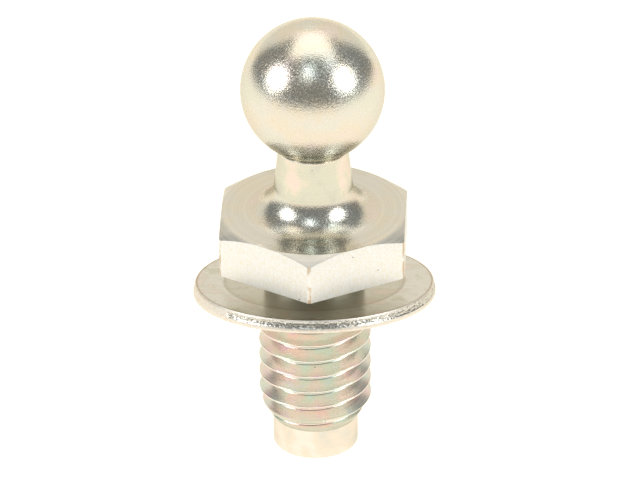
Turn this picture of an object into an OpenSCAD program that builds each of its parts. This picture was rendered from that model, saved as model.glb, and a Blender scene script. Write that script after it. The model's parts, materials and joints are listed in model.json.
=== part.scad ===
// Threaded ball stud with a loose captive washer, in millimetres.
// The stud stands on the end of its dog point, with +Z up its axis and the front at -Y.

/* [Ball and neck] */
// Diameter of the ball
ball_d = 10; // [9.5:0.1:10.5]
// Height of the ball's centre above the end of the dog point
ball_z = 28.04; // [27.5:0.02:30]
// Diameter of the tapered neck at the height of the ball's underside
neck_top_d = 4.98; // [4.6:0.02:5.2]
// Diameter of the tapered neck above its foot fillet
neck_foot_d = 5.43; // [5.2:0.01:5.6]
// Radius of the fillet between the neck and the hexagon
foot_fillet_r = 2.3; // [1.4:0.1:2.8]
// Radius of the fillet between the neck and the ball
ball_fillet_r = 0.45; // [0.3:0.05:0.6]

/* [Hexagon] */
// Size across the flats
hex_af = 12.85; // [12.7:0.05:13]
// Diameter over the slightly rounded corners
hex_corner_d = 14.7; // [14.3:0.05:14.7]
// Height of the hexagon
hex_h = 3.36; // [3:0.02:3.8]
// Height of the hexagon's underside above the end of the dog point
hex_z = 15.27; // [15:0.01:16]
// Slope of the chamfer that takes down the upper corners
hex_chamfer_angle = 30; // [20:1:35]
// Turn of the front corner away from straight ahead
hex_turn = -2.7; // [-30:0.1:30]

/* [Shank and thread] */
// Diameter over the thread's crests
thread_d = 7.9; // [7.76:0.02:8]
// Pitch of the right-hand thread
thread_pitch = 1.25; // [1:0.25:1.25]
// Height of one crest where the helix passes the front
thread_crest_z = 7.29; // [6.7:0.01:7.9]
// Height at which the thread has run out into the plain shank
thread_top_z = 11.2; // [10:0.1:11.2]
// Diameter of the plain shank between the thread and the hexagon
shank_d = 7.04; // [6.9:0.02:7.04]
// Slope of the lead-in and of the run-out, from the axis
lead_angle = 30; // [25:1:40]

/* [Dog point] */
// Diameter of the dog point
dog_d = 6; // [5.6:0.1:6]
// Length of the dog point
dog_h = 2.24; // [1.6:0.02:2.6]
// Radius on the edge of its end
dog_edge_r = 0.1; // [0.05:0.05:0.4]

/* [Washer] */
// Outside diameter
washer_od = 17; // [15:0.1:18]
// Hole, wider than the shank and narrower than the thread
washer_id = 7.5; // [7.5:0.01:7.6]
// Thickness
washer_t = 0.92; // [0.7:0.02:0.92]
// Height of its middle where it lies cocked on the end of the thread
washer_z = 12.35; // [12.35:0.01:12.8]
// Tilt that raises its front
washer_tilt = 10.7; // [0:0.1:10.7]
// Height of the smooth sheared band on its rim, below the torn band
sheared_h = 0.36; // [0.2:0.02:0.5]
// How far the torn band leans in at the top of the rim
torn_lean = 0.1; // [0.02:0.02:0.2]
// Radius that punching rolls onto the lower edge of the rim
rolled_edge_r = 0.16; // [0.05:0.01:0.18]

/* [Hidden] */
$fn = 96;

plating = [0.80, 0.77, 0.70];
washer_plating = [0.74, 0.71, 0.65];

ball_r = ball_d / 2;
hex_top_z = hex_z + hex_h;
hex_corner_r = hex_corner_d / 2;
// The chamfer meets the top face just outside the flats, so each flat keeps a short level edge
flat_margin = 0.03;
hex_face_r = hex_af / 2 + flat_margin;
hex_chamfer_z = hex_top_z - (hex_corner_r - hex_face_r) * tan(hex_chamfer_angle);

// The neck's taper is one straight line, from its foot up to the ball
neck_foot = [neck_foot_d / 2, hex_top_z + foot_fillet_r];
neck_top = [neck_top_d / 2, ball_z - ball_r];
neck_line = (neck_top - neck_foot) / norm(neck_top - neck_foot);
neck_normal = [neck_line[1], -neck_line[0]];

// The foot fillet touches the hexagon's top face and the neck
foot_offset = neck_foot + foot_fillet_r * neck_normal;
foot_step = (hex_top_z + foot_fillet_r - foot_offset[1]) / neck_line[1];
foot_centre = foot_offset + foot_step * neck_line;
foot_touch = foot_centre - foot_fillet_r * neck_normal;

// The upper fillet touches the neck and the ball
ball_centre = [0, ball_z];
under_offset = neck_foot + ball_fillet_r * neck_normal - ball_centre;
under_reach = ball_r + ball_fillet_r;
under_mid = under_offset * neck_line;
under_step = -under_mid - sqrt(under_mid ^ 2 - under_offset * under_offset + under_reach ^ 2);
under_centre = ball_centre + under_offset + under_step * neck_line;
under_touch_neck = under_centre - ball_fillet_r * neck_normal;
under_touch_ball = ball_centre + (under_centre - ball_centre) * ball_r / under_reach;

// Metric thread form: flanks at 60 degrees to each other, a flat crest and a flat root
flank_angle = 30;
crest_share = 1 / 8;
depth_share = 0.584;
thread_r = thread_d / 2;
crest_w = thread_pitch * crest_share;
core_r = thread_r - thread_pitch * depth_share;
shank_r = shank_d / 2;
dog_r = dog_d / 2;
core_foot_z = dog_h + core_r - dog_r;
shank_foot_z = thread_top_z - 0.1;
core_top_z = shank_foot_z - (shank_r - core_r);

// The thread's outside is a cylinder with a lead-in cone below and a run-out cone above.
// Both cones end a little inside the core and the shank.
lead_step = 0.05;
sunk_depth = 0.06;
lead_foot_r = dog_r + lead_step;
lead_top_z = dog_h + (thread_r - lead_foot_r) / tan(lead_angle);
run_out_z = thread_top_z - (thread_r - shank_r) / tan(lead_angle);
sunk_foot_r = core_r - sunk_depth;
sunk_foot_z = dog_h + (sunk_foot_r - lead_foot_r) / tan(lead_angle);
sunk_top_r = shank_r - 2 * sunk_depth;
sunk_top_z = thread_top_z + (shank_r - sunk_top_r) / tan(lead_angle);

// The ridge is rooted inside the core and stands proud of the crest before it is turned down
turn_steps = 36;
ridge_root_r = core_r - 2 * sunk_depth;
ridge_proud_r = thread_r + 0.08;
ridge_first = floor((sunk_foot_z - thread_pitch / 2 - thread_crest_z) / thread_pitch * turn_steps);
ridge_last = ceil((sunk_top_z + thread_pitch / 2 - thread_crest_z) / thread_pitch * turn_steps);

function ridge_half_width(r) = crest_w / 2 + (thread_r - r) * tan(flank_angle);

function helix_point(step, r, rise) =
    let (angle = step * 360 / turn_steps - 90)
    [r * cos(angle), r * sin(angle), thread_crest_z + step / turn_steps * thread_pitch + rise];

// One helical ridge of four-sided section, swept up the right-hand helix
module thread_ridge() {
    root_w = ridge_half_width(ridge_root_r);
    proud_w = ridge_half_width(ridge_proud_r);
    section = [
        [ridge_root_r, -root_w],
        [ridge_proud_r, -proud_w],
        [ridge_proud_r, proud_w],
        [ridge_root_r, root_w]
    ];
    rings = ridge_last - ridge_first;
    points = [
        for (step = [ridge_first:ridge_last])
            for (corner = section)
                helix_point(step, corner[0], corner[1])
    ];
    first_end = [3, 2, 1, 0];
    last_end = [for (side = [0:3]) 4 * rings + side];
    lower_halves = [
        for (ring = [0:rings - 1])
            for (side = [0:3])
                let (next = (side + 1) % 4)
                [4 * ring + side, 4 * ring + next, 4 * ring + 4 + next]
    ];
    upper_halves = [
        for (ring = [0:rings - 1])
            for (side = [0:3])
                let (next = (side + 1) % 4)
                [4 * ring + side, 4 * ring + 4 + next, 4 * ring + 4 + side]
    ];
    polyhedron(points, concat([first_end, last_end], lower_halves, upper_halves));
}

// The ridge, turned down to the thread's outside
module thread() {
    intersection() {
        rotate_extrude()
            polygon([
                [0, sunk_foot_z],
                [sunk_foot_r, sunk_foot_z],
                [thread_r, lead_top_z],
                [thread_r, run_out_z],
                [sunk_top_r, sunk_top_z],
                [0, sunk_top_z]
            ]);
        thread_ridge();
    }
}

// Half section of the dog point, the thread's core, the shank and the blank for the hexagon
module lower_profile() {
    polygon([
        [0, 0],
        [dog_r - dog_edge_r, 0],
        [dog_r, dog_edge_r],
        [dog_r, dog_h],
        [core_r, core_foot_z],
        [core_r, core_top_z],
        [shank_r, shank_foot_z],
        [shank_r, hex_z],
        [hex_corner_r, hex_z],
        [hex_corner_r, hex_chamfer_z],
        [hex_face_r, hex_top_z],
        [0, hex_top_z]
    ]);
    translate([dog_r - dog_edge_r, dog_edge_r])
        circle(dog_edge_r);
}

// Half section of the neck, with a fillet at each end
module neck_profile() {
    difference() {
        polygon([
            [0, hex_z],
            [foot_centre[0], hex_z],
            [foot_centre[0], hex_top_z],
            foot_touch,
            under_touch_neck,
            under_touch_ball,
            [0, under_touch_ball[1]]
        ]);
        translate(foot_centre)
            circle(foot_fillet_r);
        translate(under_centre)
            circle(ball_fillet_r);
    }
}

// Half section of the ball
module ball_profile() {
    intersection() {
        translate(ball_centre)
            circle(ball_r);
        translate([0, ball_z - ball_r])
            square([ball_r, ball_d]);
    }
}

// What has to go from the round blank to leave six flats
module flat_cutter() {
    spare = hex_h / 2;
    cut_h = hex_h + 2 * spare;
    front_corner = -90;
    translate([0, 0, hex_z - spare])
        difference() {
            cylinder(h = cut_h, r = hex_corner_r + spare);
            rotate(front_corner + hex_turn)
                cylinder(h = cut_h, r = hex_af / sqrt(3), $fn = 6);
        }
}

module ball_stud() {
    color(plating) {
        difference() {
            rotate_extrude() {
                lower_profile();
                neck_profile();
                ball_profile();
            }
            flat_cutter();
        }
        thread();
    }
}

// Half section of the washer: a rolled edge and a sheared band low on the rim, and a torn band above
module washer_profile() {
    half_t = washer_t / 2;
    rim_r = washer_od / 2;
    hole_r = washer_id / 2;
    polygon([
        [hole_r, -half_t],
        [rim_r - rolled_edge_r, -half_t],
        [rim_r, rolled_edge_r - half_t],
        [rim_r, sheared_h - half_t],
        [rim_r - torn_lean, half_t],
        [hole_r, half_t]
    ]);
    translate([rim_r - rolled_edge_r, rolled_edge_r - half_t])
        circle(rolled_edge_r);
}

// The punched washer lies cocked on the end of the thread, with its front raised
module captive_washer() {
    color(washer_plating)
        translate([0, 0, washer_z])
            rotate([-washer_tilt, 0, 0])
                rotate_extrude()
                    washer_profile();
}

ball_stud();
captive_washer();
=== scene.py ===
import json
import math

import bmesh
import bpy
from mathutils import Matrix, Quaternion, Vector


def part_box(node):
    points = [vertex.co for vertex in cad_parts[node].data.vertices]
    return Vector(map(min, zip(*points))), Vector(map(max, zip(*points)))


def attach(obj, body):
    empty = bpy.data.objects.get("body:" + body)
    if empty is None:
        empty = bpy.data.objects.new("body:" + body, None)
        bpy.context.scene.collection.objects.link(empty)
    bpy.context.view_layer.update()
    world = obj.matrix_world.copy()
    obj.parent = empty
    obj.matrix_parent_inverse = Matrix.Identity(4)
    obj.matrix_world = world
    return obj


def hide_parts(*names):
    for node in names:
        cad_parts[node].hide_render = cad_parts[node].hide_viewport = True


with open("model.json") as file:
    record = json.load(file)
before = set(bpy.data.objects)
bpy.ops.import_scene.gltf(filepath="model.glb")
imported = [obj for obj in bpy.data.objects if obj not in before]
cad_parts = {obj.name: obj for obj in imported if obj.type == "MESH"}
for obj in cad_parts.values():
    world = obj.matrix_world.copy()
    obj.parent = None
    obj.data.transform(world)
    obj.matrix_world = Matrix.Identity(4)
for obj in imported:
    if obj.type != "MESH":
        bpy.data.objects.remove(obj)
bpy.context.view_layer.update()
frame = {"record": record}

# Camera
# A long lens stands in front of the stud and looks down at it by about thirty degrees.
# It is rolled by half a degree, as the stud leans in the picture.
mm = 0.001
picture_width = 640
focal_length_in_pixels = 5723.6
camera_distance = 400 * mm
camera_elevation = math.radians(29.785)
camera_roll = math.radians(-0.515)
camera_aim = Vector((0.42, 0.05, 16.08)) * mm
towards_camera = Vector((0, -math.cos(camera_elevation), math.sin(camera_elevation)))
bpy.ops.object.camera_add(location=camera_aim + camera_distance * towards_camera)
camera = bpy.context.object
camera.rotation_mode = "QUATERNION"
level_view = (-towards_camera).to_track_quat("-Z", "Y")
camera.rotation_quaternion = level_view @ Quaternion((0, 0, 1), camera_roll)
camera.data.sensor_width = 36
camera.data.lens = camera.data.sensor_width * focal_length_in_pixels / picture_width
camera.data.clip_start = 10 * mm
bpy.context.scene.camera = camera

# Ball stud
# One piece of steel, formed cold and turned from the dog point to the ball, with six flats for a spanner.
# Its M8 thread was rolled on after the washer was put over the shank, and all of it is plated with zinc.
# The thread screws into a plate, and the ball snaps into a socket.
mounts = {mount["name"]: mount for mount in frame["record"]["mounts"]}
ball_z = mounts["ball"]["pos_m"][2]
ball_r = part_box("ball_stud")[1].z - ball_z
dog_r = mounts["dog_point"]["dims"]["r_mm"] * mm
dog_h = 2.24 * mm
dog_edge_r = 0.1 * mm
core_r = 3.06 * mm
core_step_z = dog_h + 0.3 * mm
core_foot_z = dog_h + 0.4 * mm
core_top_z = 10.64 * mm
shank_r = 3.52 * mm
shank_foot_z = 11.1 * mm
hex_z = 15.27 * mm
hex_h = 3.36 * mm
hex_top_z = hex_z + hex_h
hex_half_flats = 6.425 * mm
hex_corner_r = 7.35 * mm
hex_flat_margin = 0.03 * mm
hex_face_r = hex_half_flats + hex_flat_margin
hex_chamfer_angle = math.radians(30)
hex_chamfer_drop = (hex_corner_r - hex_face_r) * math.tan(hex_chamfer_angle)
neck_foot_r = 2.715 * mm
neck_top_r = 2.49 * mm
foot_fillet_r = 2.3 * mm
ball_fillet_r = 0.45 * mm
dog_edge_steps = 6
foot_fillet_steps = 28
ball_fillet_steps = 10
ball_steps = 60
turning_steps = 192
merge_gap = 0.0005 * mm


def arc(centre, radius, first, last, steps):
    """Points of a half section on an arc, between two angles in degrees from straight outwards."""
    angles = [math.radians(first + (last - first) * i / steps) for i in range(steps + 1)]
    return [Vector((centre.x + radius * math.cos(a), centre.y + radius * math.sin(a))) for a in angles]


def draw_section(name, points):
    """One vertex, extruded from point to point of a half section: distance from the axis, then height."""
    bpy.ops.object.select_all(action="DESELECT")
    bpy.ops.mesh.primitive_plane_add(size=mm)
    piece = bpy.context.object
    piece.name = name
    bpy.ops.object.mode_set(mode="EDIT")
    bpy.ops.mesh.merge(type="CENTER")
    bpy.ops.transform.translate(value=(points[0].x, 0, points[0].y))
    for here, there in zip(points, points[1:]):
        step = (there.x - here.x, 0, there.y - here.y)
        bpy.ops.mesh.extrude_region_move(TRANSFORM_OT_translate={"value": step})
    bpy.ops.object.mode_set(mode="OBJECT")
    return piece


def spin_section(piece, steps):
    """Spins a drawn half section once round the upright axis into a closed skin that faces outwards."""
    bpy.ops.object.mode_set(mode="EDIT")
    bpy.ops.mesh.select_all(action="SELECT")
    bpy.ops.mesh.spin(steps=steps, angle=2 * math.pi, center=(0, 0, 0), axis=(0, 0, 1))
    bpy.ops.mesh.select_all(action="SELECT")
    bpy.ops.mesh.remove_doubles(threshold=merge_gap)
    bpy.ops.mesh.normals_make_consistent(inside=False)
    bpy.ops.object.mode_set(mode="OBJECT")


# The neck tapers in a straight line, from the hexagon's top face up to the ball
neck_foot = Vector((neck_foot_r, hex_top_z + foot_fillet_r))
neck_top = Vector((neck_top_r, ball_z - ball_r))
neck_line = (neck_top - neck_foot).normalized()
neck_normal = Vector((neck_line.y, -neck_line.x))
neck_lean = math.degrees(math.atan2(neck_normal.y, neck_normal.x))

# The foot fillet touches the hexagon's top face and the neck
foot_centre = neck_foot + foot_fillet_r * neck_normal
foot_centre += neck_line * (hex_top_z + foot_fillet_r - foot_centre.y) / neck_line.y

# The upper fillet touches the neck and the ball
ball_centre = Vector((0, ball_z))
under_offset = neck_foot + ball_fillet_r * neck_normal - ball_centre
under_reach = ball_r + ball_fillet_r
under_mid = under_offset.dot(neck_line)
under_step = -under_mid - math.sqrt(under_mid**2 - under_offset.length_squared + under_reach**2)
under_centre = ball_centre + under_offset + under_step * neck_line
from_ball = under_centre - ball_centre
ball_foot_angle = math.degrees(math.atan2(from_ball.y, from_ball.x))

# The turned blank, drawn from the end of the dog point up to the top of the ball and spun round the axis
dog_edge_centre = Vector((dog_r - dog_edge_r, dog_edge_r))
blank_section = [Vector((0, 0))]
blank_section += arc(dog_edge_centre, dog_edge_r, -90, 0, dog_edge_steps)
blank_section += [
    Vector((dog_r, core_step_z)),
    Vector((core_r, core_foot_z)),
    Vector((core_r, core_top_z)),
    Vector((shank_r, shank_foot_z)),
    Vector((shank_r, hex_z)),
    Vector((hex_corner_r, hex_z)),
    Vector((hex_corner_r, hex_top_z - hex_chamfer_drop)),
    Vector((hex_face_r, hex_top_z)),
]
blank_section += arc(foot_centre, foot_fillet_r, -90, -180 + neck_lean, foot_fillet_steps)
blank_section += arc(under_centre, ball_fillet_r, 180 + neck_lean, 180 + ball_foot_angle, ball_fillet_steps)
blank_section += arc(ball_centre, ball_r, ball_foot_angle, 90, ball_steps)[1:]
stud = draw_section("plated_ball_stud", blank_section)
spin_section(stud, turning_steps)

# Each flat is sliced off the round blank, and the hexagon's edges keep a small radius from forming
flat_count = 6
hex_turn = math.radians(-2.7)
hex_edge_r = 0.1 * mm
hex_edge_angle = math.radians(12)
inside_flats_r = hex_half_flats - 0.1 * mm
slice_gap = 0.0001 * mm
bpy.ops.object.mode_set(mode="EDIT")
for side in range(flat_count):
    outwards = hex_turn + math.radians(360 / flat_count * side)
    flat_normal = Vector((math.cos(outwards), math.sin(outwards), 0))
    bpy.ops.mesh.select_all(action="SELECT")
    bpy.ops.mesh.bisect(
        plane_co=flat_normal * hex_half_flats,
        plane_no=flat_normal,
        use_fill=True,
        clear_outer=True,
        threshold=slice_gap,
    )
stud_mesh = bmesh.from_edit_mesh(stud.data)
bpy.ops.mesh.select_all(action="DESELECT")
for edge in stud_mesh.edges:
    middle = (edge.verts[0].co + edge.verts[1].co) / 2
    on_hexagon = middle.xy.length > inside_flats_r
    edge.select_set(on_hexagon and edge.calc_face_angle(0) > hex_edge_angle)
bmesh.update_edit_mesh(stud.data)
bpy.ops.mesh.bevel(offset=hex_edge_r, segments=2, affect="EDGES", clamp_overlap=True)
bpy.ops.object.mode_set(mode="OBJECT")

# One pitch of the rolled thread, with a round root and a nearly round crest
thread_r = mounts["thread"]["dims"]["r_mm"] * mm
pitch = 1.25 * mm
flank_slope = 60
root_round_r = 0.14 * mm
root_steps = 4
crest_round_r = 0.07 * mm
crest_steps = 3
crest_half_flat = 0.02 * mm
crest_z_in_front = 7.29 * mm

crest_start = pitch / 2 - crest_half_flat
flank_run = crest_start - math.sin(math.radians(flank_slope)) * (crest_round_r + root_round_r)
flank_rise = flank_run * math.tan(math.radians(flank_slope))
root_r = thread_r - (crest_round_r + root_round_r) / 2 - flank_rise
root_centre = Vector((root_r + root_round_r, 0))
crest_centre = Vector((thread_r - crest_round_r, crest_start))
root_arc = arc(root_centre, root_round_r, 180, 180 - flank_slope, root_steps)
crest_arc = arc(crest_centre, crest_round_r, -flank_slope, 0, crest_steps)
crest_top = Vector((thread_r, pitch / 2))
lower_half = root_arc + crest_arc + [crest_top]
upper_half = [Vector((point.x, pitch - point.y)) for point in reversed(lower_half[:-1])]
first_root_z = (crest_z_in_front + pitch / 4 - pitch / 2) % pitch
thread_section = [point + Vector((0, first_root_z)) for point in lower_half + upper_half]


def apply_modifier(piece, modifier):
    """Makes a modifier's result the piece's own mesh."""
    bpy.ops.object.select_all(action="DESELECT")
    bpy.context.view_layer.objects.active = piece
    piece.select_set(True)
    bpy.ops.object.modifier_apply(modifier=modifier.name)


def combine(piece, tool, operation):
    """Joins or trims a piece with another closed shape, and removes that shape."""
    modifier = piece.modifiers.new(operation.lower(), "BOOLEAN")
    modifier.operation = operation
    modifier.solver = "EXACT"
    modifier.object = tool
    apply_modifier(piece, modifier)
    bpy.data.objects.remove(tool)


# The pitch is screwed up the axis, and both ends of the helical skin are closed to the axis
thread_turns = 10
thread_steps = 256
thread = draw_section("thread", thread_section)
screw = thread.modifiers.new("screw", "SCREW")
screw.axis = "Z"
screw.angle = 2 * math.pi
screw.screw_offset = pitch
screw.iterations = thread_turns
screw.steps = thread_steps
screw.render_steps = thread_steps
apply_modifier(thread, screw)
bpy.ops.object.mode_set(mode="EDIT")
bpy.ops.mesh.select_all(action="SELECT")
bpy.ops.mesh.remove_doubles(threshold=merge_gap)
thread_middle_z = first_root_z + pitch * thread_turns / 2
for end_is_high in (False, True):
    thread_mesh = bmesh.from_edit_mesh(thread.data)
    bpy.ops.mesh.select_all(action="DESELECT")
    for edge in thread_mesh.edges:
        high = edge.verts[0].co.z > thread_middle_z
        edge.select_set(edge.is_boundary and high == end_is_high)
    bmesh.update_edit_mesh(thread.data)
    bpy.ops.mesh.extrude_region_move(TRANSFORM_OT_translate={"value": (0, 0, 0)})
    bpy.ops.mesh.merge(type="CENTER")
bpy.ops.mesh.select_all(action="SELECT")
bpy.ops.mesh.normals_make_consistent(inside=False)
bpy.ops.object.mode_set(mode="OBJECT")

# The thread is turned to its lead-in below and its run-out above, then joined to the blank
thread_top_z = 11.2 * mm
lead_slope = math.tan(math.radians(30))
lead_foot_r = dog_r + 0.05 * mm
outside_r = thread_r + 0.1 * mm
sunk_r = shank_r - 0.1 * mm
lead_top_z = dog_h + (outside_r - lead_foot_r) / lead_slope
run_out_z = thread_top_z - (outside_r - shank_r) / lead_slope
sunk_z = thread_top_z + (shank_r - sunk_r) / lead_slope
outside_section = [
    Vector((0, dog_h)),
    Vector((lead_foot_r, dog_h)),
    Vector((outside_r, lead_top_z)),
    Vector((outside_r, run_out_z)),
    Vector((sunk_r, sunk_z)),
    Vector((0, sunk_z)),
]
thread_outside = draw_section("thread_outside", outside_section)
spin_section(thread_outside, turning_steps)
combine(thread, thread_outside, "INTERSECT")
combine(stud, thread, "UNION")

# Slivers that the joining leaves along the crests are closed up
sliver = 0.004 * mm
stud_smooth_angle = math.radians(30)
bpy.ops.object.mode_set(mode="EDIT")
bpy.ops.mesh.select_all(action="SELECT")
bpy.ops.mesh.dissolve_degenerate(threshold=sliver)
bpy.ops.mesh.remove_doubles(threshold=sliver)
bpy.ops.mesh.normals_make_consistent(inside=False)
bpy.ops.object.mode_set(mode="OBJECT")
bpy.ops.object.shade_smooth_by_angle(angle=stud_smooth_angle)

# The plating is zinc under a clear film, which turns pale pink, straw and green in soft patches. The
# darkest green, sage, also stands for a painted darker reflection where it lies on the neck's front.
zinc = (0.69, 0.68, 0.62)
straw = (0.71, 0.67, 0.565)
pink = (0.78, 0.67, 0.61)
sage = (0.59, 0.60, 0.53)
lichen = (0.63, 0.64, 0.55)
peach = (0.79, 0.72, 0.62)
ivory = (0.85, 0.86, 0.84)
pale = (0.88, 0.90, 0.90)
buff = (0.86, 0.83, 0.70)
tan = (0.64, 0.53, 0.40)
rose = (0.87, 0.72, 0.75)
apricot = (0.89, 0.77, 0.69)
cream = (0.82, 0.79, 0.73)
mint = (0.76, 0.82, 0.72)
aqua = (0.74, 0.81, 0.79)
bright_zinc = (0.745, 0.735, 0.67)
bright_straw = (0.765, 0.72, 0.605)
bright_blush = (0.79, 0.715, 0.65)
bright_lichen = (0.72, 0.735, 0.65)
edge_tint = (0.8, 0.79, 0.74, 1)
first_tint = 0.34
tint_span = 0.32
tint_detail = 3
mark_detail = 3
dark_flecks = (0.3, 0.6)
bright_flecks = (0.5, 0.68)
dull_marks = (0.3, 0.7)
dimple_size = (0.11, 0.11, 0.11)
dimple_detail = 2
# A few small dark specks at random spots of the plating, with no hollow in the surface
speck_colour = (0.22, 0.19, 0.15, 1)
speck_spacing = 0.9 * mm
unspecked_share = 0.8
speck_size = 0.06
um = 0.001 * mm


def add_node(material, kind, **values):
    """Adds a node to a material and sets its inputs by name, with underlines for spaces."""
    made = material.node_tree.nodes.new(kind)
    for socket, value in values.items():
        made.inputs[socket.replace("_", " ")].default_value = value
    return made


def add_maths(material, operation, first, second):
    """Adds a calculation on two values, each a number or another node's output."""
    made = material.node_tree.nodes.new("ShaderNodeMath")
    made.operation = operation
    for socket, value in zip(made.inputs, (first, second)):
        if isinstance(value, (int, float)):
            socket.default_value = value
        else:
            material.node_tree.links.new(value, socket)
    return made.outputs["Value"]


def add_ramp(material, value, stops):
    """Adds a row of colours, each at its own value between nought and one."""
    made = material.node_tree.nodes.new("ShaderNodeValToRGB")
    row = made.color_ramp.elements
    for number, (position, colour) in enumerate(stops):
        stop = row[number] if number < 2 else row.new(position)
        stop.position = position
        stop.color = (*colour, 1)
    material.node_tree.links.new(value, made.inputs["Fac"])
    return made.outputs["Color"]


def add_mix(material, blend, share, first, second):
    """Adds a blend of two colours, by a fixed share or by another node's value."""
    made = material.node_tree.nodes.new("ShaderNodeMix")
    made.data_type = "RGBA"
    made.blend_type = blend
    for socket, value in ((made.inputs[0], share), (made.inputs[6], first), (made.inputs[7], second)):
        if isinstance(value, (float, tuple)):
            socket.default_value = value
        else:
            material.node_tree.links.new(value, socket)
    return made.outputs[2]


def add_noise(material, place, lengths, detail, shift=0):
    """Adds soft noise whose blots have a given length along each axis, in mm, shifted by some blots."""
    stretch = add_node(material, "ShaderNodeMapping", Scale=[1 / (length * mm) for length in lengths])
    stretch.inputs["Location"].default_value = (shift, 0, 0)
    material.node_tree.links.new(place, stretch.inputs["Vector"])
    made = add_node(material, "ShaderNodeTexNoise", Scale=1, Detail=detail)
    material.node_tree.links.new(stretch.outputs["Vector"], made.inputs["Vector"])
    return made.outputs["Fac"]


def add_reach(material, place):
    """Adds the distance from the upright axis."""
    levelled = material.node_tree.nodes.new("ShaderNodeVectorMath")
    levelled.operation = "MULTIPLY"
    levelled.inputs[1].default_value = (1, 1, 0)
    material.node_tree.links.new(place, levelled.inputs[0])
    measured = material.node_tree.nodes.new("ShaderNodeVectorMath")
    measured.operation = "LENGTH"
    material.node_tree.links.new(levelled.outputs["Vector"], measured.inputs[0])
    return measured.outputs["Value"]


def add_rings(material, place):
    """Adds a place that is the same all the way round the upright axis, for the marks of turning."""
    split = add_node(material, "ShaderNodeSeparateXYZ")
    material.node_tree.links.new(place, split.inputs["Vector"])
    made = add_node(material, "ShaderNodeCombineXYZ")
    material.node_tree.links.new(add_reach(material, place), made.inputs["X"])
    material.node_tree.links.new(split.outputs["Z"], made.inputs["Z"])
    return made.outputs["Vector"]


def zinc_plate(
    name,
    tints,
    patch,
    marks,
    fleck,
    roughness,
    mark_depth,
    dimple_depth,
    turned=False,
    shift=0,
    flecks=dark_flecks,
    dull_share=0.15,
):
    """Plated steel: tints in soft patches, darker marks of the tool, fine dimples and a few dark specks.

    Patches and marks are given by their lengths in mm, and depths in thousandths of a mm.
    """
    material = bpy.data.materials.new(name)
    material.use_nodes = True
    link = material.node_tree.links.new
    shader = material.node_tree.nodes["Principled BSDF"]
    shader.inputs["Metallic"].default_value = 1
    shader.inputs["Specular Tint"].default_value = edge_tint
    place = add_node(material, "ShaderNodeTexCoord").outputs["Object"]
    lines = add_noise(material, add_rings(material, place) if turned else place, marks, mark_detail)
    dimples = add_noise(material, place, dimple_size, dimple_detail)

    tint_step = tint_span / (len(tints) - 1)
    tint_stops = [(first_tint + tint_step * number, tint) for number, tint in enumerate(tints)]
    tint = add_ramp(material, add_noise(material, place, patch, tint_detail, shift), tint_stops)
    shade = add_ramp(material, lines, [(flecks[0], (1 - fleck,) * 3), (flecks[1], (1, 1, 1))])
    colour = add_mix(material, "MULTIPLY", 1.0, tint, shade)
    cells = add_node(material, "ShaderNodeTexVoronoi", Scale=1 / speck_spacing)
    link(place, cells.inputs["Vector"])
    lot = add_node(material, "ShaderNodeSeparateColor")
    link(cells.outputs["Color"], lot.inputs["Color"])
    specked = add_maths(material, "GREATER_THAN", lot.outputs["Red"], unspecked_share)
    speck_reach = add_maths(material, "MULTIPLY", specked, speck_size)
    speck = add_maths(material, "LESS_THAN", cells.outputs["Distance"], speck_reach)
    link(add_mix(material, "MIX", speck, colour, speck_colour), shader.inputs["Base Color"])

    dull = add_node(material, "ShaderNodeMapRange", From_Min=dull_marks[0], From_Max=dull_marks[1])
    dull.inputs["To Min"].default_value = roughness * (1 - dull_share)
    dull.inputs["To Max"].default_value = roughness * (1 + dull_share)
    link(lines, dull.inputs["Value"])
    link(dull.outputs["Result"], shader.inputs["Roughness"])
    tooled = add_node(material, "ShaderNodeBump", Strength=1, Distance=mark_depth * um)
    link(lines, tooled.inputs["Height"])
    dimpled = add_node(material, "ShaderNodeBump", Strength=1, Distance=dimple_depth * um)
    link(dimples, dimpled.inputs["Height"])
    link(tooled.outputs["Normal"], dimpled.inputs["Normal"])
    link(dimpled.outputs["Normal"], shader.inputs["Normal"])
    return material


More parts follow.
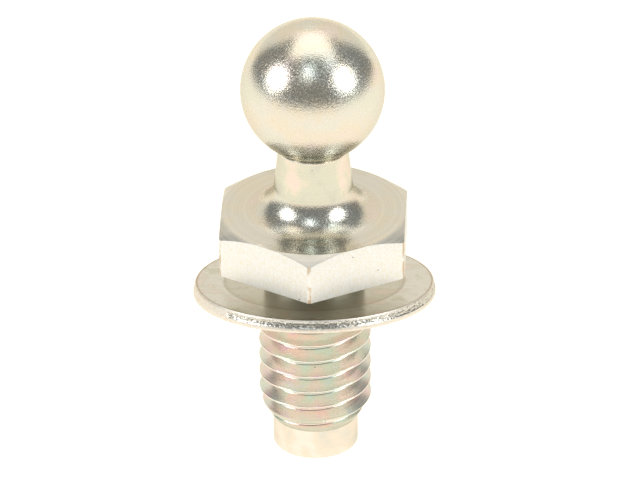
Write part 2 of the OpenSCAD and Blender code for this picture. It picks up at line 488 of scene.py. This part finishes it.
# The steel below shows how it was made: turned rings, drawn grain on the flats and worn corners
bright_tints = [bright_blush, bright_straw, bright_zinc, bright_lichen]
even_grain = (0.11, 0.11, 0.11)
upright_grain = (0.1, 0.1, 1.2)
fine_rings = (0.15, 100, 0.15)
wide_patch = (2.5, 2.5, 2.5)
neck_patch = (1.5, 1.5, 2.5)
thread_patch = (1.8, 1.8, 1.3)
fine_patch = (0.13, 0.13, 0.13)
worn_patch = (0.5, 0.5, 0.9)
finishes = {
    "ball": zinc_plate(
        "ball_plate",
        bright_tints,
        wide_patch,
        even_grain,
        fleck=0.09,
        roughness=0.24,
        mark_depth=1,
        dimple_depth=14,
        flecks=bright_flecks,
        dull_share=0.5,
    ),
    # The neck's tints are shifted round so that dark sage lies at its front: a green film there, darkened
    # further as a painted reflection of the dim floor in front
    "neck": zinc_plate(
        "neck_plate",
        [sage, lichen, lichen, straw, pink],
        neck_patch,
        fine_rings,
        fleck=0.06,
        roughness=0.2,
        mark_depth=1,
        dimple_depth=4,
        turned=True,
        shift=6.3,
    ),
    "fillet": zinc_plate(
        "fillet_plate",
        bright_tints,
        wide_patch,
        even_grain,
        fleck=0.12,
        roughness=0.23,
        mark_depth=1,
        dimple_depth=10,
        flecks=bright_flecks,
        dull_share=0.4,
    ),
    "face": zinc_plate(
        "face_plate",
        [straw, zinc, zinc],
        wide_patch,
        fine_rings,
        fleck=0.08,
        roughness=0.2,
        mark_depth=12,
        dimple_depth=8,
        turned=True,
    ),
    "chamfer": zinc_plate(
        "chamfer_plate",
        [zinc, cream],
        wide_patch,
        fine_rings,
        fleck=0.1,
        roughness=0.4,
        mark_depth=4,
        dimple_depth=6,
        turned=True,
    ),
    "flat": zinc_plate(
        "flat_plate",
        [buff, ivory, pale, pale],
        fine_patch,
        upright_grain,
        fleck=0.06,
        roughness=0.56,
        mark_depth=4,
        dimple_depth=3,
    ),
    "corner": zinc_plate(
        "corner_plate",
        [tan, tan, ivory, pale],
        worn_patch,
        even_grain,
        fleck=0.1,
        roughness=0.45,
        mark_depth=4,
        dimple_depth=4,
    ),
    "shank": zinc_plate(
        "shank_plate",
        [straw, zinc],
        wide_patch,
        fine_rings,
        fleck=0.1,
        roughness=0.5,
        mark_depth=2,
        dimple_depth=2,
        turned=True,
    ),
    "thread": zinc_plate(
        "thread_plate",
        [rose, apricot, cream, mint, aqua],
        thread_patch,
        fine_rings,
        fleck=0.06,
        roughness=0.28,
        mark_depth=1,
        dimple_depth=4,
        turned=True,
        shift=8.1,
    ),
    "lead": zinc_plate(
        "lead_plate",
        [sage, lichen, zinc],
        thread_patch,
        fine_rings,
        fleck=0.06,
        roughness=0.28,
        mark_depth=1,
        dimple_depth=4,
        turned=True,
    ),
    "dog": zinc_plate(
        "dog_plate",
        [peach, cream, peach, zinc],
        wide_patch,
        fine_rings,
        fleck=0.05,
        roughness=0.3,
        mark_depth=1,
        dimple_depth=3,
        turned=True,
    ),
}

# Each face takes the finish of its place, and slopes are told apart by how far they face up
lead_faces_up = (-0.7, -0.3)
flat_faces_up = 0.2
bevel_faces_up = 0.8
worn_r = hex_corner_r - 0.12 * mm
face_top_z = hex_top_z + 0.05 * mm
fillet_top_z = hex_top_z + 0.8 * foot_fillet_r
ball_foot_z = ball_z - 0.95 * ball_r


def finish_of(face):
    """Names the finish of a face of the stud, by where it lies and which way it faces."""
    reach = face.center.xy.length
    height = face.center.z
    faces_up = face.normal.z
    if height < dog_h:
        return "dog"
    if height < thread_top_z:
        on_lead_in = height < dog_h + pitch and lead_faces_up[0] < faces_up < lead_faces_up[1]
        return "lead" if on_lead_in else "thread"
    if height < hex_z and reach < inside_flats_r:
        return "shank"
    if height < hex_top_z and reach > inside_flats_r:
        if abs(faces_up) < flat_faces_up:
            return "corner" if reach > worn_r else "flat"
        return "corner" if 0 < faces_up < bevel_faces_up else "chamfer"
    if height < face_top_z:
        return "face"
    if height < fillet_top_z:
        return "fillet"
    return "neck" if height < ball_foot_z else "ball"


for finish in finishes.values():
    stud.data.materials.append(finish)
finish_number = {name: number for number, name in enumerate(finishes)}
for face in stud.data.polygons:
    face.material_index = finish_number[finish_of(face)]
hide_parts("ball_stud")
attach(stud, "stud")

# Washer
# A plated steel washer, punched from strip and loose on the shank: it lies cocked, with its front raised.
# Its rim has a rolled lower edge, a smooth sheared band, and a rough torn band that leans in above it.
washer_low, washer_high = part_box("captive_washer")
washer_r = (washer_high.x - washer_low.x) / 2
washer_hole_r = 3.75 * mm
washer_t = 0.92 * mm
washer_z = (washer_low.z + washer_high.z) / 2
washer_tilt = math.radians(10.7)
rolled_edge_r = 0.16 * mm
rolled_edge_steps = 5
sheared_h = 0.36 * mm
torn_lean = 0.1 * mm
torn_rows = 10
burr_h = 0.12 * mm
burr_lean = 0.075 * mm
rim_steps = 720
half_t = washer_t / 2
rolled_centre = Vector((washer_r - rolled_edge_r, rolled_edge_r - half_t))
torn_foot = Vector((washer_r, sheared_h - half_t))
torn_top = Vector((washer_r - torn_lean, half_t - burr_h))
washer_section = [Vector((washer_hole_r, half_t)), Vector((washer_hole_r, -half_t))]
washer_section += arc(rolled_centre, rolled_edge_r, -90, 0, rolled_edge_steps)
washer_section += [torn_foot.lerp(torn_top, row / torn_rows) for row in range(torn_rows + 1)]
washer_section += [Vector((torn_top.x - burr_lean, half_t)), Vector((washer_hole_r, half_t))]
washer = draw_section("plated_washer", washer_section)
spin_section(washer, rim_steps)

# The torn band has real relief, which dies away at its edges
torn_start = math.radians(-46)
smooth_span = math.radians(70)
torn_depth = 0.07 * mm
torn_grain = 0.13 * mm
torn_detail = 2
torn_contrast = 1.6
torn_edge_rise = 6


def is_torn(point):
    """Whether a point of the rim lies in the torn band, which leaves out one smooth stretch at the left."""
    from_start = (math.atan2(point.x, -point.y) - torn_start) % (2 * math.pi)
    on_rim = point.xy.length > washer_r - 2 * torn_lean
    return on_rim and from_start < 2 * math.pi - smooth_span and torn_foot.y < point.z < torn_top.y


torn_band = washer.vertex_groups.new(name="torn_band")
for vertex in washer.data.vertices:
    if is_torn(vertex.co):
        to_edge = min(vertex.co.z - torn_foot.y, torn_top.y - vertex.co.z) / (torn_top.y - torn_foot.y)
        torn_band.add([vertex.index], min(1, torn_edge_rise * to_edge), "REPLACE")
torn_texture = bpy.data.textures.new("torn_grain", "CLOUDS")
torn_texture.noise_scale = torn_grain
torn_texture.noise_depth = torn_detail
torn_texture.contrast = torn_contrast
tear = washer.modifiers.new("tear", "DISPLACE")
tear.texture = torn_texture
tear.texture_coords = "LOCAL"
tear.vertex_group = "torn_band"
tear.mid_level = 1
tear.strength = torn_depth

# The pressed faces, the torn band and the rest of the rim each have a finish of their own
rubbed_r = 6.3 * mm
pressed_number, torn_number, rim_number = range(3)
for face in washer.data.polygons:
    on_rim = face.center.xy.length > rubbed_r and abs(face.center.z) < half_t
    untorn_number = rim_number if on_rim else pressed_number
    face.material_index = torn_number if is_torn(face.center) else untorn_number
apply_modifier(washer, tear)

washer_smooth_angle = math.radians(40)
bpy.ops.object.mode_set(mode="EDIT")
bpy.ops.mesh.select_all(action="SELECT")
bpy.ops.transform.rotate(value=washer_tilt, orient_axis="X", center_override=(0, 0, 0))
bpy.ops.transform.translate(value=(0, 0, washer_z))
bpy.ops.object.mode_set(mode="OBJECT")
bpy.ops.object.shade_smooth_by_angle(angle=washer_smooth_angle)

silver = (0.74, 0.74, 0.69)
blush = (0.77, 0.70, 0.65)
slate = (0.42, 0.41, 0.38)
washer_patch = (1.7, 1.7, 1.7)
torn_patch = (0.12, 0.12, 0.12)
rim_patch = (0.25, 0.25, 0.25)
pressed = zinc_plate(
    "washer_plate",
    [lichen, silver, silver, zinc, blush],
    washer_patch,
    even_grain,
    fleck=0.08,
    roughness=0.22,
    mark_depth=1,
    dimple_depth=4,
)
torn = zinc_plate(
    "torn_plate",
    [slate, zinc, zinc],
    torn_patch,
    even_grain,
    fleck=0.1,
    roughness=0.28,
    mark_depth=2,
    dimple_depth=6,
)
rim = zinc_plate(
    "rim_plate",
    [peach, cream, cream],
    rim_patch,
    even_grain,
    fleck=0.05,
    roughness=0.5,
    mark_depth=2,
    dimple_depth=2,
)

# The hexagon has rubbed the middle of the pressed face, and the colour darkens to brown in a thin line just
# inside the rim
bare = (1, 1, 1)
rubbed = (0.86, 0.84, 0.80)
rubbed_edge = (0.74, 0.70, 0.64)
brown_line = (0.62, 0.50, 0.40)
rubbed_share = rubbed_r / washer_r
rubbed_fade_in = 0.03
rubbed_fade_out = 0.02
# The colour darkens to brown in a thin line just inside the rim
brown_line_from = 0.96
brown_line_middle = 0.972
brown_line_to = 0.981
worn_stops = [
    (rubbed_share - rubbed_fade_in, rubbed),
    (rubbed_share, rubbed_edge),
    (rubbed_share + rubbed_fade_out, bare),
    (brown_line_from, bare),
    (brown_line_middle, brown_line),
    (brown_line_to, bare),
]
flattened = add_node(pressed, "ShaderNodeMapping", Location=(0, 0, washer_z), Rotation=(-washer_tilt, 0, 0))
flattened.vector_type = "TEXTURE"
pressed_links = pressed.node_tree.links
pressed_links.new(add_node(pressed, "ShaderNodeTexCoord").outputs["Object"], flattened.inputs["Vector"])
across = add_maths(pressed, "DIVIDE", add_reach(pressed, flattened.outputs["Vector"]), washer_r)
worn = add_ramp(pressed, across, worn_stops)
pressed_colour = pressed.node_tree.nodes["Principled BSDF"].inputs["Base Color"]
plated = pressed_colour.links[0].from_socket
pressed_links.new(add_mix(pressed, "MULTIPLY", 1.0, plated, worn), pressed_colour)
for finish in (pressed, torn, rim):
    washer.data.materials.append(finish)
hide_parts("captive_washer")
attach(washer, "washer")

# Floor
# A plain sheet of warm white paper, far wider than the stud.
# It is lit from below, so that it shows pure white and throws a soft light up at the metal.
floor_size = 6
paper_white = (1, 0.92, 0.8, 1)
bpy.ops.object.select_all(action="DESELECT")
bpy.ops.mesh.primitive_plane_add(size=floor_size)
floor = bpy.context.object
floor.name = "floor"
floor_paper = bpy.data.materials.new("floor_paper")
floor_paper.use_nodes = True
paper = floor_paper.node_tree.nodes["Principled BSDF"]
paper.inputs["Base Color"].default_value = (0.1, 0.1, 0.1, 1)
paper.inputs["Roughness"].default_value = 0.9
paper.inputs["Specular IOR Level"].default_value = 0
paper.inputs["Emission Color"].default_value = paper_white
paper.inputs["Emission Strength"].default_value = 1.26
floor.data.materials.append(floor_paper)

# Light
# Two soft lamps stand at the left and right, with two small windows higher up in front.
# A warm sheet hangs behind and another slopes overhead, in a dim room whose walls show white.
lit_centre = Vector((0, 0, ball_z))
lamp_distance = 0.5
white = (1, 1, 1)
daylight = (0.88, 0.96, 1)
warm = (1, 0.9, 0.76)
soft_warm = (1, 0.94, 0.84)


def soft_light(name, place, facing, size, radiance, tint, shape="RECTANGLE"):
    """A soft lamp with an even brightness over its face, seen only in what it lights."""
    lamp = bpy.data.lights.new(name, "AREA")
    lamp.shape = shape
    lamp.size = size[0]
    lamp.size_y = size[1]
    area = size[0] * size[1] * (math.pi / 4 if shape == "ELLIPSE" else 1)
    lamp.energy = radiance * math.pi * area
    lamp.color = tint
    holder = bpy.data.objects.new(name, lamp)
    holder.location = lit_centre + place
    holder.rotation_mode = "QUATERNION"
    holder.rotation_quaternion = facing.to_track_quat("-Z", "Y")
    holder.visible_camera = False
    bpy.context.scene.collection.objects.link(holder)


left_place = lamp_distance * Vector((-0.839, -0.289, 0.461)).normalized()
right_place = lamp_distance * Vector((0.779, -0.393, 0.488)).normalized()
window_place = lamp_distance * Vector((-0.117, -0.576, 0.808)).normalized()
second_place = lamp_distance * Vector((0.43, -0.23, 0.873)).normalized()
overhead_place = Vector((0, 0.24, 0.46))
overhead_facing = Vector((0, 0.517, -0.856))
back_place = Vector((0, 0.5, 0.32))
back_facing = Vector((0, -1, 0))
soft_light(
    "left_lamp", left_place, -left_place, size=(0.28, 0.29), radiance=4.5, tint=white, shape="ELLIPSE"
)
soft_light(
    "right_lamp", right_place, -right_place, size=(0.28, 0.3), radiance=4.5, tint=white, shape="ELLIPSE"
)
soft_light("window", window_place, -window_place, size=(0.1, 0.2), radiance=2.7, tint=daylight)
soft_light("second_window", second_place, -second_place, size=(0.05, 0.09), radiance=3.5, tint=daylight)
soft_light(
    "sloped_sheet", overhead_place, overhead_facing, size=(0.38, 0.66), radiance=1.42, tint=soft_warm
)
soft_light("back_sheet", back_place, back_facing, size=(1.05, 0.7), radiance=0.77, tint=warm)

world = bpy.data.worlds.new("studio")
world.use_nodes = True
bpy.context.scene.world = world
room = world.node_tree.nodes["Background"]
room.inputs["Color"].default_value = (0.265, 0.27, 0.265, 1)
seen = world.node_tree.nodes.new("ShaderNodeBackground")
seen.inputs["Color"].default_value = (1, 1, 1, 1)
path = world.node_tree.nodes.new("ShaderNodeLightPath")
choose = world.node_tree.nodes.new("ShaderNodeMixShader")
world_links = world.node_tree.links
world_links.new(path.outputs["Is Camera Ray"], choose.inputs["Fac"])
world_links.new(room.outputs["Background"], choose.inputs[1])
world_links.new(seen.outputs["Background"], choose.inputs[2])
world_links.new(choose.outputs["Shader"], world.node_tree.nodes["World Output"].inputs["Surface"])
bpy.context.scene.view_settings.view_transform = "Standard"
